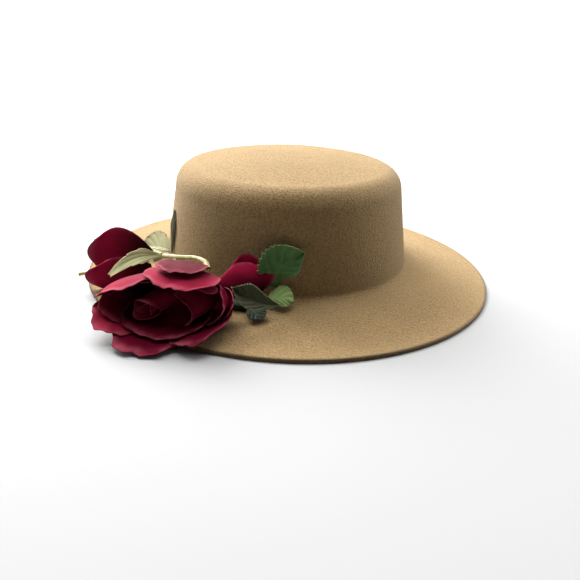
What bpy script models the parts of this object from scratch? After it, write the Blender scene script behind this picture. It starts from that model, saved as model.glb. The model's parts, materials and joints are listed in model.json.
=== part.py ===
"""A boater-shaped felt hat with a silk rose, a half-open bud and leaves beside its crown.

Metres, +Z up. The hat lies brim down with its origin on the floor under its middle.
+Y is the hat's front, and the rose sits at the back left of the brim.
"""
from collections import namedtuple
from math import asin, cos, pi, radians, sin

import bpy
from mathutils import Vector

# Hat body, all of one felt
CROWN_WIDTH = 0.175        # across the crown at its foot, over the felt
CROWN_LENGTH = 0.2065      # front to back there
BRIM_SIDE = 0.057          # brim from the crown's foot to its edge, at the sides
BRIM_END = 0.065           # the same at the front and back
FELT = 0.0025              # wall of crown and brim
HAT_HEIGHT = 0.086         # floor to the middle of the crown's top
CREASE_HEIGHT = 0.0114     # floor to the brim's upper face at the crown's foot
TOP_DOME = 0.008           # how far the top rises above its shoulder
WALL_TAPER = 0.0064        # how far the wall leans in up to the shoulder
SHOULDER_RADIUS = 0.015    # between wall and top, outside
CREASE_RADIUS = 0.0025     # in the corner between brim and wall
EDGE_LAND = 0.006          # flat band under the brim's edge, which stands on the floor
CROWN_LEAN = 0.001         # one side of the top stands this much higher than the middle

# Silk trimming
SILK = 0.001               # a petal's or a leaf's wall
GAP = 0.0003               # between pieces that touch
TRIM = 0.040               # an outer petal's length, which the trimming's heights and bows follow
ROSE_WIDTH = 0.094         # across the rose's mouth
ROSE_HEIGHT = 0.0345       # its lower side to its upper side
ROSE_DEPTH = 0.034         # the rose's middle back to its foot
HOOD_REACH = 0.021         # the middle to the front of the upper petals, if they met there
LOW_REACH = 0.043          # the middle to the front of the lower petals
HOOD_CURL = 1.0            # how much the upper petals close over the front: 1 is a full oval
LOW_CURL = -0.25           # the lower petals flare out a little
ROSE_PLACE = (231.3, 0.82, 0.465)    # angle round the hat, share of the brim, rise in shares of TRIM
ROSE_FACING = (247.0, 0.0)           # where the rose looks: degrees round from +X, degrees up
ROSE_CORE = 0.0065         # half the width of the bound foot that the petals start from
STEM_RADIUS = 0.0016
TWIG_RADIUS = 0.0012

# Facets
HAT_SIDES = 60
WALL_STEPS = 3
SHOULDER_STEPS = 5
CREASE_STEPS = 3
BRIM_STEPS = 7
PETAL_ACROSS = 6
PETAL_ALONG = 5
BACKING_ACROSS = 6
BACKING_ALONG = 4
CORE_SIDES = 10
STEM_SIDES = 8
TWIG_SIDES = 6

BRIM_DROP_POWER = 1.3      # the brim drops fastest next to the crown
LAST_UNDER_SHARE = 0.86    # the brim's underside has no ring from here to its flat band
DOME_SHARES = (0.82, 0.55, 0.25)     # rings of the top, in shares of its width

# Outlines of petals and leaves
EDGE_POWER = 2.4           # how suddenly a rounded end drops at its corners
ROSE_FOOT_WIDTH = 0.7      # a rose petal's width at its foot, as a share of its width
ROSE_BELLY = 0.6           # how far along it is widest
ROSE_ROUNDING = 0.22       # how far its end's corners stand back, as a share of its length
SIDE_FOOT_WIDTH = 0.35     # the same for the two petals beside the crown
LEAF_FOOT_WIDTH = 0.12
SEPAL_FOOT_WIDTH = 0.5
TIP_ROUNDING = 0.35        # how far the corners of a pointed end stand back
LEAST_ROUNDING = 0.05
TIP_NARROWING = 0.85       # how much a pointed end loses of its width

RosePetal = namedtuple("RosePetal", "name ring clock span rim")
# ring: 0 is the outermost shell; clock: where the petal points, seen from in front, 0 right and
# 90 up; span: half its angle; rim: 90 stops at the mouth, more curls over it, less stays behind
ROSE_PETALS = (
    RosePetal("rose_petal_hood_small", 0, 82, 28, 106),
    RosePetal("rose_petal_low_middle", 0, 266, 30, 152),
    RosePetal("rose_petal_low_left", 1, 228, 30, 138),
    RosePetal("rose_petal_low_right", 1, 303, 30, 136),
    RosePetal("rose_petal_hood_large", 1, 66, 38, 136),
    RosePetal("rose_petal_rolled", 2, 138, 48, 128),
    RosePetal("rose_petal_right_outer", 2, 338, 40, 92),
    RosePetal("rose_petal_cup_right", 3, 345, 50, 104),
    RosePetal("rose_petal_cup_left", 3, 198, 40, 118),
    RosePetal("rose_petal_cup_top", 4, 80, 50, 110),
    RosePetal("rose_petal_cup_low", 4, 265, 50, 118),
    RosePetal("rose_petal_inner_right", 5, 5, 60, 112),
    RosePetal("rose_petal_inner_left", 5, 190, 55, 120),
)
ROSE_RINGS = 6
SLOPE_ROOM = 1.25                    # two shells that lean need more than a wall and a gap
LONG_ROOM = 1.9                      # and more again towards the rose's long ends
RING_PITCH = (SILK + GAP) * SLOPE_ROOM
RING_PITCH_WIDE = RING_PITCH * LONG_ROOM
WIDEST_START = 0.9                   # no petal starts wider than this share of its shell
FOOT_TAIL = 0.002                    # the bound foot's taper behind the petals
FOOT_TAIL_WIDTH = 0.8                # its width at the end, as a share of the core
HEART_ROWS = ((0.9, 1.0), (1.25, 0.5), (1.0, 0.0))    # width and depth, as shares
HEART_TIP_WIDTH = 0.35
HEART_TIP = 0.005                    # how far the rolled heart stands out of the middle

Blade = namedtuple("Blade", "name start end facing width belly tip cup arch sweep")
# start and end: angle round the hat, share of the brim, rise in shares of TRIM; facing: degrees
# round and up; width, cup, arch and sweep: shares of TRIM, across, bowed across, bowed along and
# the end's turn to the side; belly: where along it is widest; tip: 1 is a point, less is rounder
BUD_PETALS = (
    Blade("bud_petal_far", (205.1, 0.322, 0.480), (193.1, 0.99, 0.53), (262, 12),
          0.86, 0.62, 0.45, 0.08, -0.02, 0.0),
    Blade("bud_petal_near", (206.9, 0.375, 0.424), (198.2, 1.02, 0.31), (262, -14),
          0.78, 0.58, 0.45, -0.10, 0.06, 0.0),
)
SIDE_PETALS = (
    Blade("side_petal_large", (247.7, 0.22, 0.19), (243.6, 0.09, 0.60), (262, 30),
          0.78, 0.55, 0.5, -0.03, 0.05, 0.0),
    Blade("side_petal_behind", (245.8, 0.055, 0.32), (244.0, -0.005, 0.67), (262, 30),
          0.48, 0.55, 0.4, 0.0, 0.01, 0.0),
)
LEAVES = (
    Blade("leaf_upright", (257.2, 0.026, 0.235), (259.1, 0.006, 0.845), (262, 10),
          0.72, 0.58, 0.65, -0.01, 0.01, 0.20),
    Blade("leaf_folded", (255.3, 0.34, 0.18), (245.8, 0.42, 0.49), (262, 30),
          0.46, 0.50, 0.9, 0.16, 0.05, 0.0),
    Blade("leaf_light", (254.8, 0.145, 0.25), (263.6, 0.18, 0.16), (262, 50),
          0.46, 0.55, 0.8, -0.05, 0.03, 0.0),
    Blade("leaf_shaded", (249.1, 0.39, 0.05), (254.2, 0.55, 0.03), (270, 80),
          0.50, 0.50, 0.8, 0.05, -0.02, 0.0),
    Blade("leaf_back", (190.0, 0.04, 0.063), (180.9, 0.36, 0.14), (255, 45),
          0.50, 0.45, 1.0, 0.06, 0.05, 0.0),
    Blade("leaf_side", (196.0, 0.008, 0.16), (189.5, -0.045, 0.92), (191, 0),
          0.40, 0.45, 0.8, 0.04, 0.03, 0.0),
)
SEPALS = (
    Blade("sepal_large", (208.3, 0.349, 0.508), (207.9, 0.87, 0.46), (258, 10),
          0.34, 0.40, 0.8, -0.03, 0.04, 0.0),
    Blade("sepal_curled", (212.2, 0.255, 0.435), (218.6, 0.38, 0.40), (258, 10),
          0.12, 0.50, 0.8, 0.0, 0.03, 0.0),
)
STEM_ROUTE = ((209.2, 0.257, 0.464), (217.0, 0.165, 0.485), (223.0, 0.11, 0.51),
              (228.5, 0.13, 0.52), (231.5, 0.18, 0.47))
TWIG_ROUTE = ((196.8, 0.84, 0.27), (196.6, 1.12, 0.25))
CALYX_ENDS = ((206.3, 0.33, 0.46), (208.8, 0.265, 0.463))
BACKING_ANGLES = (239.0, 251.0)      # the pad that the side petals and leaves are sewn to
BACKING_SHARES = (0.06, 0.30)
BACKING_THICK = 0.0055
CALYX_RADIUS = 0.0042
CALYX_END_RADIUS = 0.0021


def clear_scene():
    for item in list(bpy.data.objects):
        bpy.data.objects.remove(item, do_unlink=True)


def material(name, colour, roughness):
    made = bpy.data.materials.new(name)
    made.use_nodes = True
    shader = made.node_tree.nodes["Principled BSDF"]
    shader.inputs["Base Color"].default_value = (*colour, 1.0)
    shader.inputs["Roughness"].default_value = roughness
    return made


def solid(name, points, faces, look):
    mesh = bpy.data.meshes.new(name)
    mesh.from_pydata([tuple(p) for p in points], [], faces)
    mesh.shade_smooth()
    mesh.materials.append(look)
    made = bpy.data.objects.new(name, mesh)
    bpy.context.scene.collection.objects.link(made)
    return made


def ring_faces(lower, upper, count):
    """Quads between two rings of count points, given each ring's first index."""
    faces = []
    for i in range(count):
        j = (i + 1) % count
        faces.append((lower + i, lower + j, upper + j, upper + i))
    return faces


def brim_top(share):
    """Height of the brim's upper face at a share of the way from the crown's foot to the edge."""
    landed = 1 - EDGE_LAND / BRIM_SIDE
    left = max(0.0, 1 - max(share, 0.0) / landed)
    return FELT + (CREASE_HEIGHT - FELT) * left ** BRIM_DROP_POWER


def place(angle, share, rise):
    """A point over the brim: angle round the hat, share of the brim, rise in shares of TRIM."""
    turn = radians(angle)
    return Vector(((CROWN_WIDTH / 2 + BRIM_SIDE * share) * cos(turn),
                   (CROWN_LENGTH / 2 + BRIM_END * share) * sin(turn),
                   brim_top(share) + rise * TRIM))


def looking(turn, lift):
    """The unit direction turn degrees round from +X and lift degrees up."""
    flat = cos(radians(lift))
    return Vector((flat * cos(radians(turn)), flat * sin(radians(turn)), sin(radians(lift))))


def crown_profile(wall):
    """(inset, height) up the crown, for the face that lies wall inside the outer one."""
    shoulder_foot = HAT_HEIGHT - TOP_DOME - SHOULDER_RADIUS
    radius = SHOULDER_RADIUS - wall
    foot = CREASE_HEIGHT + CREASE_RADIUS
    rows = []
    for step in range(WALL_STEPS):
        share = step / WALL_STEPS
        rows.append((wall + WALL_TAPER * share, foot + (shoulder_foot - foot) * share))
    for step in range(SHOULDER_STEPS + 1):
        turn = step / SHOULDER_STEPS * pi / 2
        rows.append((WALL_TAPER + SHOULDER_RADIUS - radius * cos(turn), shoulder_foot + radius * sin(turn)))
    return rows


def hat_body(look):
    """Crown and brim as one hollow felt wall, open underneath."""
    rings = []

    def ring(half_width, half_length, height):
        rings.append((half_width, half_length, height))

    def crown_rings(wall):
        made = []
        for inset, height in crown_profile(wall):
            made.append((CROWN_WIDTH / 2 - inset, CROWN_LENGTH / 2 - inset, height))
        last = made[-1]
        for share in DOME_SHARES:
            made.append((last[0] * share, last[1] * share, last[2] + TOP_DOME * (1 - share * share)))
        return made

    for half_width, half_length, height in reversed(crown_rings(0.0)):
        ring(half_width, half_length, height)
    for step in range(1, CREASE_STEPS):
        turn = step / CREASE_STEPS * pi / 2
        out = CREASE_RADIUS * (1 - cos(turn))
        up = CREASE_RADIUS * (1 - sin(turn))
        ring(CROWN_WIDTH / 2 + out, CROWN_LENGTH / 2 + out, CREASE_HEIGHT + up)
    first = CREASE_RADIUS / BRIM_SIDE
    shares = [first + (1 - first) * step / BRIM_STEPS for step in range(BRIM_STEPS + 1)]
    def brim_ring(share, below):
        half_width = CROWN_WIDTH / 2 + BRIM_SIDE * share
        ring(half_width, CROWN_LENGTH / 2 + BRIM_END * share, brim_top(share) - below)

    for share in shares:
        brim_ring(share, 0.0)
    under = [1.0, 1 - EDGE_LAND / BRIM_SIDE]
    under += [share for share in reversed(shares) if share < LAST_UNDER_SHARE]
    for share in under:
        brim_ring(share, FELT)
    for half_width, half_length, height in crown_rings(FELT):
        ring(half_width, half_length, height)

    def lean(x, height):
        lifted = max(0.0, height - CREASE_HEIGHT) / (HAT_HEIGHT - CREASE_HEIGHT)
        return CROWN_LEAN * lifted * x / (CROWN_WIDTH / 2)

    points, faces = [], []
    for half_width, half_length, height in rings:
        for i in range(HAT_SIDES):
            turn = 2 * pi * i / HAT_SIDES
            x, y = half_width * cos(turn), half_length * sin(turn)
            points.append((x, y, height + lean(x, height)))
    for r in range(len(rings) - 1):
        faces += ring_faces((r + 1) * HAT_SIDES, r * HAT_SIDES, HAT_SIDES)
    outer_middle, inner_middle = len(points), len(points) + 1
    points += [(0, 0, HAT_HEIGHT), (0, 0, HAT_HEIGHT - FELT)]
    last = (len(rings) - 1) * HAT_SIDES
    for i in range(HAT_SIDES):
        j = (i + 1) % HAT_SIDES
        faces.append((i, j, outer_middle))
        faces.append((last + j, last + i, inner_middle))
    return solid("hat_body", points, faces, look)


def sheet_solid(name, grid, look, wall=SILK):
    """A closed wall round a grid of middle points, rows along the piece and columns across it."""
    rows, columns = len(grid), len(grid[0])
    normals = []
    for r in range(rows):
        for c in range(columns):
            along = grid[min(r + 1, rows - 1)][c] - grid[max(r - 1, 0)][c]
            across = grid[r][min(c + 1, columns - 1)] - grid[r][max(c - 1, 0)]
            normals.append(across.cross(along).normalized())
    middle = [p for row in grid for p in row]
    points = [p + n * (wall / 2) for p, n in zip(middle, normals)]
    points += [p - n * (wall / 2) for p, n in zip(middle, normals)]
    back = rows * columns
    faces = []
    for r in range(rows - 1):
        for c in range(columns - 1):
            a = r * columns + c
            b, d, e = a + 1, a + columns, a + columns + 1
            faces.append((a, b, e, d))
            faces.append((back + d, back + e, back + b, back + a))
    rim = list(range(columns))
    rim += [r * columns + columns - 1 for r in range(1, rows)]
    rim += [(rows - 1) * columns + c for c in range(columns - 2, -1, -1)]
    rim += [r * columns for r in range(rows - 2, 0, -1)]
    for k, a in enumerate(rim):
        b = rim[(k + 1) % len(rim)]
        faces.append((b, a, back + a, back + b))
    return solid(name, points, faces, look)


def petal_outline(u, v, foot, belly, round_end):
    """How far across and along the point (u, v) lies: u from -1 to 1, v from 0 at the foot to 1."""
    wide = foot + (1 - foot) * sin(pi / 2 * min(v / belly, 1.0))
    return u * wide, v * (1 - round_end * abs(u) ** EDGE_POWER)


class Rose:
    """Nested oval shells round one axis: every petal is a patch of its own shell."""

    def __init__(self):
        self.middle = place(*ROSE_PLACE)
        self.front = looking(*ROSE_FACING)
        self.right = self.front.cross(Vector((0, 0, -1))).normalized()
        self.up = self.right.cross(-self.front).normalized()

    @staticmethod
    def between(low, high, clock):
        """A size that goes from its low value at the rose's lower side to its high one at the top."""
        return low + (high - low) * (1 + sin(clock)) / 2

    def point(self, ring, clock, psi):
        """A point of a shell: clock round the axis, psi from 0 at the foot past pi / 2 at the girth."""
        girth, forward = sin(psi), -ROSE_DEPTH + ring * RING_PITCH
        if psi > pi / 2:
            girth = 1 - self.between(LOW_CURL, HOOD_CURL, clock) * (1 - girth)
            forward = ring * RING_PITCH - self.between(LOW_REACH, HOOD_REACH, clock)
        wide = ROSE_WIDTH / 2 - ring * RING_PITCH_WIDE
        tall = ROSE_HEIGHT / 2 - ring * RING_PITCH
        side = self.right * (wide * cos(clock) * girth)
        lift = self.up * (tall * sin(clock) * girth)
        return self.middle + side + lift + self.front * (forward * cos(psi))

    @staticmethod
    def start_psi(ring):
        """Where the petals of a shell start, clear of the bound foot."""
        share = (ROSE_CORE + GAP + SILK / 2) / (ROSE_HEIGHT / 2 - ring * RING_PITCH)
        return asin(min(WIDEST_START, share))

    def petal(self, row, look):
        start = self.start_psi(row.ring)
        length = radians(row.rim) - start
        grid = []
        for r in range(PETAL_ALONG + 1):
            line = []
            for c in range(PETAL_ACROSS + 1):
                u, v = c / PETAL_ACROSS * 2 - 1, r / PETAL_ALONG
                across, along = petal_outline(u, v, ROSE_FOOT_WIDTH, ROSE_BELLY, ROSE_ROUNDING)
                clock = radians(row.clock - row.span * across)
                line.append(self.point(row.ring, clock, start + length * along))
            grid.append(line)
        return sheet_solid(row.name, grid, look)

    def turned(self, name, profile, look):
        """A closed turned piece on the rose's axis from (radius, depth) rows."""
        points, faces = [], []
        for radius, depth in profile:
            for i in range(CORE_SIDES):
                turn = 2 * pi * i / CORE_SIDES
                out = self.right * (radius * cos(turn)) + self.up * (radius * sin(turn))
                points.append(self.middle + out + self.front * depth)
        for r in range(len(profile) - 1):
            faces += ring_faces(r * CORE_SIDES, (r + 1) * CORE_SIDES, CORE_SIDES)
        last = (len(profile) - 1) * CORE_SIDES
        faces.append(tuple(reversed(range(CORE_SIDES))))
        faces.append(tuple(range(last, last + CORE_SIDES)))
        return solid(name, points, faces, look)


def blade(row, look, foot):
    """A free petal or leaf between two places, bowed across and along."""
    start, end = place(*row.start), place(*row.end)
    along = end - start
    length = along.length
    axis = along.normalized()
    facing = looking(*row.facing)
    normal = (facing - axis * facing.dot(axis)).normalized()
    side = axis.cross(normal)
    rounding = TIP_ROUNDING * min(row.tip, 1) + LEAST_ROUNDING
    grid = []
    for r in range(PETAL_ALONG + 1):
        line = []
        for c in range(PETAL_ACROSS + 1):
            u, v = c / PETAL_ACROSS * 2 - 1, r / PETAL_ALONG
            across, reach = petal_outline(u, v, foot, row.belly, rounding)
            past_belly = max(0.0, (v - row.belly) / (1 - row.belly))
            across *= 1 - row.tip * TIP_NARROWING * past_belly ** 2
            bow = row.arch * TRIM * 4 * v * (1 - v) + row.cup * TRIM * across * across
            aside = across * row.width * TRIM / 2 + row.sweep * TRIM * v * v
            line.append(start + axis * (length * reach) + side * aside + normal * bow)
        grid.append(line)
    return sheet_solid(row.name, grid, look)


def backing(look):
    """A flat pad on the brim beside the crown's foot."""
    first_angle, last_angle = BACKING_ANGLES
    first_share, last_share = BACKING_SHARES
    grid = []
    for r in range(BACKING_ALONG + 1):
        share = first_share + (last_share - first_share) * r / BACKING_ALONG
        line = []
        for c in range(BACKING_ACROSS + 1):
            angle = first_angle + (last_angle - first_angle) * c / BACKING_ACROSS
            line.append(place(angle, share, (GAP + BACKING_THICK / 2) / TRIM))
        grid.append(line)
    return sheet_solid("backing_pad", grid, look, BACKING_THICK)


def tube(name, route, radius, sides, look, end_radius):
    """A round bar through a few points, with flat ends, from radius to end_radius."""
    middle = [Vector(p) for p in route]
    points, faces = [], []
    for k, centre in enumerate(middle):
        along = (middle[min(k + 1, len(middle) - 1)] - middle[max(k - 1, 0)]).normalized()
        side = along.cross(Vector((0, 0, 1))).normalized()
        up = side.cross(along)
        size = radius + (end_radius - radius) * k / (len(middle) - 1)
        for i in range(sides):
            turn = 2 * pi * i / sides
            points.append(centre + side * (size * cos(turn)) + up * (size * sin(turn)))
    for k in range(len(middle) - 1):
        faces += ring_faces((k + 1) * sides, k * sides, sides)
    faces.append(tuple(range(sides)))
    faces.append(tuple(reversed(range((len(middle) - 1) * sides, len(middle) * sides))))
    return solid(name, points, faces, look)


def main():
    clear_scene()
    felt = material("felt_tan", (0.38, 0.24, 0.12), 0.9)
    red = material("silk_red", (0.16, 0.012, 0.03), 0.6)
    green = material("silk_green", (0.05, 0.09, 0.03), 0.6)
    pale = material("stem_pale", (0.45, 0.42, 0.22), 0.6)
    hat_body(felt)
    rose = Rose()
    for row in ROSE_PETALS:
        rose.petal(row, red)
    back = -(ROSE_DEPTH + SILK / 2 + GAP)
    front = -(ROSE_DEPTH - ROSE_RINGS * RING_PITCH)
    foot_rows = [(ROSE_CORE * FOOT_TAIL_WIDTH, back - FOOT_TAIL), (ROSE_CORE, back), (ROSE_CORE, front)]
    rose.turned("rose_foot", foot_rows, green)
    heart_rows = [(ROSE_CORE * width, (front + GAP) * depth) for width, depth in HEART_ROWS]
    heart_rows.append((ROSE_CORE * HEART_TIP_WIDTH, HEART_TIP))
    rose.turned("rose_heart", heart_rows, red)
    for row in BUD_PETALS:
        blade(row, red, LEAF_FOOT_WIDTH)
    for row in SIDE_PETALS:
        blade(row, red, SIDE_FOOT_WIDTH)
    backing(green)
    for row in LEAVES:
        blade(row, green, LEAF_FOOT_WIDTH)
    for row in SEPALS:
        blade(row, pale, SEPAL_FOOT_WIDTH)
    stem = [place(*p) for p in STEM_ROUTE]
    tube("stem", stem, STEM_RADIUS, STEM_SIDES, pale, STEM_RADIUS)
    calyx = [place(*p) for p in CALYX_ENDS]
    tube("bud_calyx", calyx, CALYX_RADIUS, STEM_SIDES, pale, CALYX_END_RADIUS)
    twig = [place(*p) for p in TWIG_ROUTE]
    tube("twig", twig, TWIG_RADIUS, TWIG_SIDES, pale, TWIG_RADIUS)


main()
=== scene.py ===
"""Dresses the boater hat: brushed felt with its nap, a silk rose and bud, toothed leaves and their stems."""
import json
from collections import namedtuple
from math import asin, cos, pi, radians, sin

import bpy
import numpy as np
from bpy.props import FloatProperty, FloatVectorProperty, IntProperty, PointerProperty
from bpy.types import Operator, Panel, PropertyGroup
from mathutils import Matrix, Vector

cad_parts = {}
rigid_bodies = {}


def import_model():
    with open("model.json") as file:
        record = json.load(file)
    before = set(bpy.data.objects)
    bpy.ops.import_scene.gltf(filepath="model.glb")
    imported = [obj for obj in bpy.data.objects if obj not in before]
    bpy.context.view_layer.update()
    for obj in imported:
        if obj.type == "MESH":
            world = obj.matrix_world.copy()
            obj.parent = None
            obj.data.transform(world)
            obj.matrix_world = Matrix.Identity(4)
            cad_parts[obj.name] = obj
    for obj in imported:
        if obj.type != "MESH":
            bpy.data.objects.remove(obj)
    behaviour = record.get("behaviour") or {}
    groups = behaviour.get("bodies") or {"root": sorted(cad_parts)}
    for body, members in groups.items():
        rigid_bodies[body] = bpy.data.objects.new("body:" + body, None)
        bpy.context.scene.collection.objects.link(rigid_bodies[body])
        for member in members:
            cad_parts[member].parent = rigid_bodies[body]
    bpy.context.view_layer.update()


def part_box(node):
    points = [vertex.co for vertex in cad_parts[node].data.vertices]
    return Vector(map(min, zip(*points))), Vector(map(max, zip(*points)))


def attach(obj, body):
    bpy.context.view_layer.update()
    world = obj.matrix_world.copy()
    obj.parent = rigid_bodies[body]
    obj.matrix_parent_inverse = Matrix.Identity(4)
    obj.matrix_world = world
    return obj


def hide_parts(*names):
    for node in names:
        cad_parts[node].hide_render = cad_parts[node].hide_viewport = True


bl_info = {
    "name": "Boater hat with a silk rose",
    "version": (1, 0, 0),
    "blender": (4, 5, 0),
    "location": "3D View > Sidebar > Boater Hat",
    "description": "Makes the felt, silk flowers, leaves and studio of a boater hat around its frame",
    "category": "Add Mesh",
}

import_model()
_, hat_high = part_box("hat_body")

# Felt body, from the frame's box and the hat's own steps
BRIM_HALF_WIDTH = hat_high[0]
BRIM_HALF_LENGTH = hat_high[1]
HAT_HEIGHT = hat_high[2]
BRIM_SIDE = 0.057
BRIM_END = 0.065
CROWN_HALF_WIDTH = BRIM_HALF_WIDTH - BRIM_SIDE
END_SLACK = 0.00002
CROWN_HALF_LENGTH = BRIM_HALF_LENGTH - BRIM_END + END_SLACK
FELT = 0.0025
CREASE_HEIGHT = 0.0114
TOP_DOME = 0.008
WALL_TAPER = 0.0064
SHOULDER_RADIUS = 0.015
CREASE_RADIUS = 0.0025
EDGE_LAND = 0.006
CROWN_LEAN = 0.001
BRIM_DROP_POWER = 1.3
EDGE_ROUNDING = 0.0004
HAT_SIDES = 288
WALL_STEPS = 22
SHOULDER_STEPS = 12
TOP_STEPS = 16
CREASE_STEPS = 5
BRIM_STEPS = 30
MM = 0.001

# Rose shells, and the steps that its petals are placed by
TRIM = 0.040
ROSE_WIDTH = 0.094
ROSE_HEIGHT = 0.0345
ROSE_DEPTH = 0.034
HOOD_REACH = 0.021
LOW_REACH = 0.043
HOOD_CURL = 1.0
LOW_CURL = -0.25
ROSE_PLACE = (231.3, 0.82, 0.465)
ROSE_FACING = (247.0, 0.0)
ROSE_CORE = 0.0065
RING_PITCH = 0.0013 * 1.25
RING_PITCH_WIDE = RING_PITCH * 1.9
INNER_ASIDE = -0.011
INNER_BELOW = 0.005
SMALL_HOOD_LIFT = 0.004
INNER_RING = 5
ROSE_SAG = 0.105
ROSE_RIGHT_PINCH = 0.10
ROSE_LEFT_SLOPE = 0.45
CORE_CLEARANCE = 0.0008
BOUND_FOOT_BACK = -0.0363
BOUND_FOOT_FRONT = -0.0247

# The rolled heart, and what the petals share
HEART_TURNS = 2.6
HEART_RADIUS = 0.0014
HEART_GROWTH = 0.0054
HEART_FLARE = 0.0012
PETAL_FOOT_WIDTH = 0.7
PETAL_BELLY = 0.6
PETAL_ROUNDING = 0.25
BUD_FOOT_WIDTH = 0.12
BUD_UPPER_WIDTHS = (1.0, 0.5)
SIDE_FOOT_WIDTH = 0.35
SETTLE_SHARES = (-0.1, 1.6)
SETTLE_STEPS = 16

# Stems, nap and the sewn pad
STEM_RADIUS = 0.00145
TWIG_RADIUS = 0.0015
WIRE_RADIUS = 0.00042
WIRE_INSIDE = 0.0018
WIRE_OUTSIDE = 0.0012
CALYX_RADIUS = 0.0042
NAP_WIDTH = 0.000045
NAP_CLEARANCE = 0.0016
NAP_LEAN = 1.25
NAP_SEED = 11
PAD_MIDDLE = 245.0
PAD_HALF_ANGLE = 6.0
PAD_START = 0.06
PAD_REACH = 0.24
PAD_THICKNESS = 0.0055
PAD_LIFT = 0.0003

# The picture's frame and its camera
PICTURE = 580
LENS_PIXELS = 666.9
SENSOR = 36.0
CAMERA_PLACE = (-0.0711, -0.4801, 0.1614)
CAMERA_TARGET = (0.0, 0.0, -0.0214)
CAMERA_ROLL = 0.028
CAMERA_SHIFT = 5.63

# The paper's bend, and the lamps: name, place, aim, size and share of the light's power
PAPER_BEND = 0.6
LAMPS = (
    ("top_light", (-0.50, 1.00, 0.88), (0, 0.05, 0.03), 0.9, 1.25),
    ("left_light", (-1.10, 0.25, 0.45), (0, 0.05, 0.03), 0.6, 0.09),
    ("right_light", (1.10, 0.35, 0.45), (0, 0.05, 0.03), 0.6, 0.13),
    ("paper_light", (0.35, 1.0, 2.0), (0.2, 1.9, 0.3), 2.6, 2.5),
)

RosePetal = namedtuple("RosePetal", "node ring clock span rim roll wave scallop")
# ring: 0 is the outermost shell; clock: where it points from in front, 0 right and 90 up; span:
# half its angle; rim: 90 ends at the girth; roll: how far the rim turns out, in mm; wave: ripples
# of the rim, in mm; scallop: shares of its length
ROSE_PETALS = (
    RosePetal("rose_petal_hood_small", 0, 83, 19, 108, 0.6, 0.5, 0.05),
    RosePetal("rose_petal_low_middle", 0, 262, 28, 148, 0.4, 0.8, 0.055),
    RosePetal("rose_petal_low_left", 1, 226, 30, 136, 0.5, 0.7, 0.055),
    RosePetal("rose_petal_low_right", 1, 303, 31, 134, 0.5, 0.8, 0.055),
    RosePetal("rose_petal_hood_large", 1, 78, 32, 136, 1.2, 0.6, 0.05),
    RosePetal("rose_petal_rolled", 2, 138, 50, 130, 1.2, 0.7, 0.05),
    RosePetal("rose_petal_right_outer", 2, 338, 40, 92, 0.5, 0.5, 0.05),
    RosePetal("rose_petal_cup_right", 3, 345, 50, 104, 0.6, 0.5, 0.05),
    RosePetal("rose_petal_cup_left", 3, 202, 40, 124, 0.6, 0.5, 0.05),
    RosePetal("rose_petal_cup_top", 4, 80, 50, 110, 0.5, 0.4, 0.05),
    RosePetal("rose_petal_cup_low", 4, 268, 52, 128, 0.5, 0.4, 0.05),
    RosePetal("rose_petal_inner_right", 5, 5, 60, 112, 0.5, 0.4, 0.05),
    RosePetal("rose_petal_inner_left", 5, 190, 55, 120, 0.5, 0.4, 0.05),
)

# Painted shade: these petals get darker copies of the silk, the first set also without gloss or sheen
SHADE_PAINTED_PETALS = ("rose_petal_low_middle", "rose_petal_low_right", "rose_petal_right_outer",
               "rose_petal_cup_right", "rose_petal_cup_low")
SOFT_SHADE_PETALS = ("rose_petal_hood_small",)
PAINTED_SHADE_TINT = (0.36, 0.40, 0.42)
SOFT_SHADE_TINT = (0.36, 0.7, 0.40)
# Painted light: the bud's and side petals' silk is made lighter by this
PAINTED_LIGHT_TINT = (1.15, 0.55, 1.05)

Blade = namedtuple("Blade", "node start end facing width belly tip cup arch sweep")
# start and end: angle round the hat, share of the brim, rise in shares of TRIM; facing: degrees
# round and up; width, cup, arch and sweep: shares of TRIM
BUD_PETALS = (
    Blade("bud_petal_far", (205.1, 0.322, 0.480), (193.1, 0.99, 0.53), (262, 12),
          0.86, 0.62, 0.45, 0.08, -0.02, 0.0),
    Blade("bud_petal_near", (206.9, 0.375, 0.330), (198.2, 1.06, 0.240), (262, -8),
          1.02, 0.58, 0.45, -0.10, 0.06, 0.0),
)
SIDE_PETALS = (
    Blade("side_petal_large", (247.2, 0.22, 0.19), (243.2, 0.09, 0.60), (262, 30),
          0.95, 0.55, 0.5, -0.03, 0.05, 0.0),
    Blade("side_petal_behind", (245.8, 0.055, 0.32), (244.0, -0.005, 0.67), (262, 30),
          0.48, 0.55, 0.4, 0.0, 0.01, 0.0),
)
Leaf = namedtuple("Leaf", "node base bend tip facing left right belly fold arch teeth")
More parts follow.
